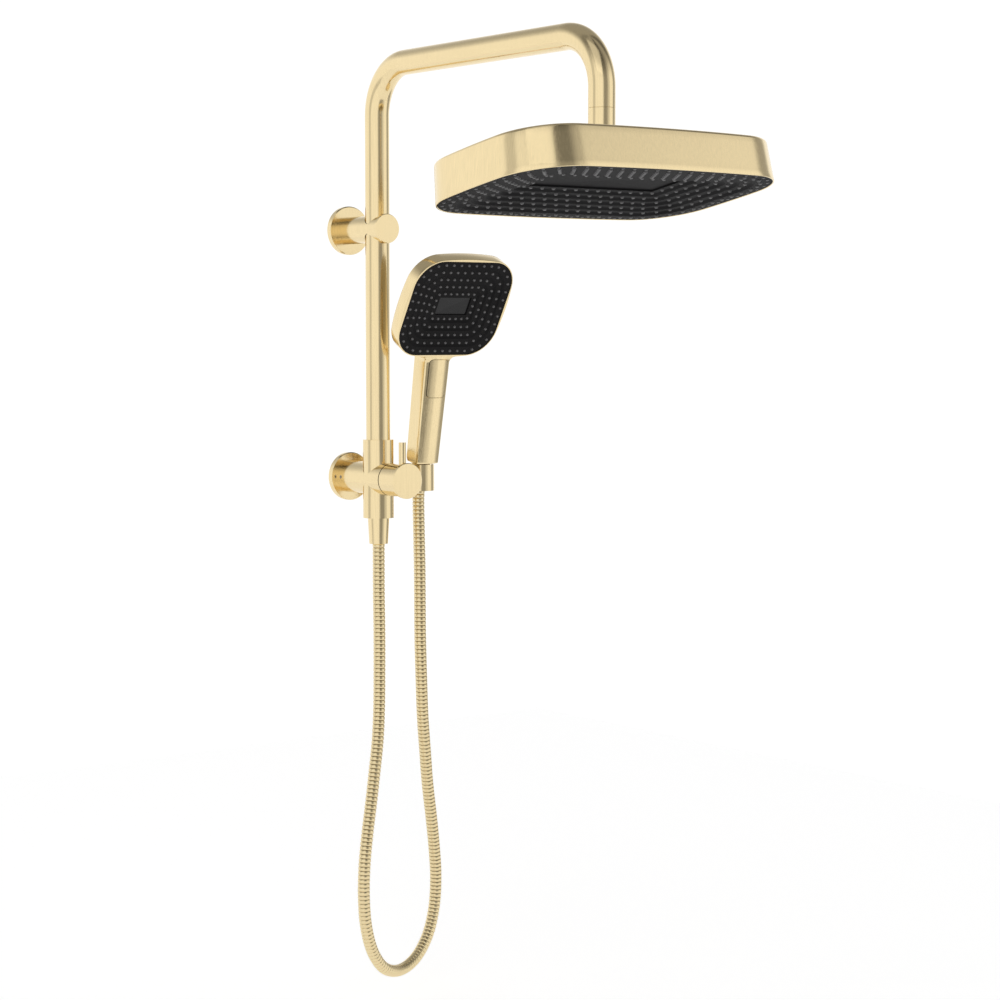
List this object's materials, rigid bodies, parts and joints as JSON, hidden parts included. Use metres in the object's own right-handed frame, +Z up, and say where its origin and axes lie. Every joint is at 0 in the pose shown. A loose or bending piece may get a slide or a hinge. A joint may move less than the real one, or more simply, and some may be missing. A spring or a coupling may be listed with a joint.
{
  "type": "shower column",
  "caption": "Wall-held shower column in brushed gold: diverter with knob, bent riser and arm, tilting rain head, handset with spray button in a holder cup, and a metal hose",
  "frame": {"origin": "centre of the lower wall inlet, on the finished wall face", "axes": "+Z up, -Y out from the wall towards the user, +X to the right when facing the wall; the handset is on the +X side"},
  "size_m": [0.31, 0.5127, 0.9644],
  "materials": {
    "gold": "brushed champagne gold PVD",
    "gold_hose": "interlocked metal strip in champagne gold",
    "brass": "raw machined brass",
    "steel": "plain stainless screws",
    "black_trim": "matte black",
    "rubber": "black sealing rubber",
    "black_face": "matte black, fine grain",
    "nozzle_grey": "grey silicone nozzle tips",
    "nylon": "natural moulded plastic"
  },
  "bodies": {
    "wall_column": {"inlet_union": "brass", "inlet_seal": "rubber", "lower_flange": "gold", "diverter_body": "gold", "lower_grub_screws": "steel", "upper_grub_screw": "steel", "cartridge": "nylon", "cartridge_nut": "brass", "knob_seal": "black_trim", "riser_seals": "rubber", "holder_cup": "gold", "cup_liner": "black_trim", "outlet_nipple": "brass", "outlet_washer": "rubber", "outlet_cone_nut": "gold", "hose": "gold_hose", "upper_wall_boss": "brass", "upper_flange": "gold", "upper_bracket": "gold", "bracket_liner": "black_trim", "bracket_cap": "gold"},
    "riser": {"riser_tube": "gold", "drop_adapter": "brass", "swivel_nut": "gold", "swivel_washer": "rubber", "swivel_ball": "brass"},
    "ball_ring": {"ball_seat": "nylon"},
    "ball_socket": {"ball_packing": "rubber"},
    "rain_head": {"ball_retainer": "gold", "rain_hub": "brass", "rain_shell": "gold", "rain_chamber_cover": "nylon", "rain_gasket": "rubber", "rain_tray": "nylon", "rain_screws": "steel", "rain_face_plate": "black_face", "rain_nozzles": "nozzle_grey", "rain_centre_panel": "black_face"},
    "knob": {"diverter_spindle": "brass", "knob_screw": "steel", "diverter_knob": "gold", "knob_cap": "gold", "lever_pin": "gold"},
    "hose_end": {"hose_cone_nut": "gold", "hose_end_washer": "rubber"},
    "handset": {"handset_nipple": "brass", "handset_shell": "gold", "handset_waterway": "nylon", "handset_water_plate": "nylon", "handset_face_plate": "black_face", "handset_nozzles": "nozzle_grey", "handset_centre_panel": "black_face"},
    "button": {"spray_button": "gold"}
  },
  "joints": [
    {"name": "column_swivel", "type": "hinge", "parent": "wall_column", "child": "riser", "pos_m": [0, -0.055, 0], "axis": [0, 0, 1], "range_deg": [-60, 60]},
    {"name": "rain_spin", "type": "hinge", "parent": "riser", "child": "ball_ring", "pos_m": [0, -0.41, 0.32], "axis": [0, 0, 1], "continuous": true},
    {"name": "rain_roll", "type": "hinge", "parent": "ball_ring", "child": "ball_socket", "pos_m": [0, -0.41, 0.32], "axis": [0, 1, 0], "range_deg": [-15, 15]},
    {"name": "rain_tilt", "type": "hinge", "parent": "ball_socket", "child": "rain_head", "pos_m": [0, -0.41, 0.32], "axis": [1, 0, 0], "range_deg": [-4.6, 25.4]},
    {"name": "knob_turn", "type": "hinge", "parent": "wall_column", "child": "knob", "pos_m": [0, -0.09, 0], "axis": [0, 1, 0], "range_deg": [-90, 90]},
    {"name": "handset_lift", "type": "slide", "parent": "wall_column", "child": "hose_end", "axis": [0, -0.1513, 0.9885], "range_m": [0, 0.04]},
    {"name": "handset_twist", "type": "hinge", "parent": "hose_end", "child": "handset", "pos_m": [0.0508, -0.0582, 0], "axis": [0, -0.1513, 0.9885], "range_deg": [-10, 60]},
    {"name": "button_press", "type": "slide", "parent": "handset", "child": "button", "axis": [0, 0.9885, 0.1513], "range_m": [0, 0.0018], "stiffness_N_per_m": 800}
  ]
}
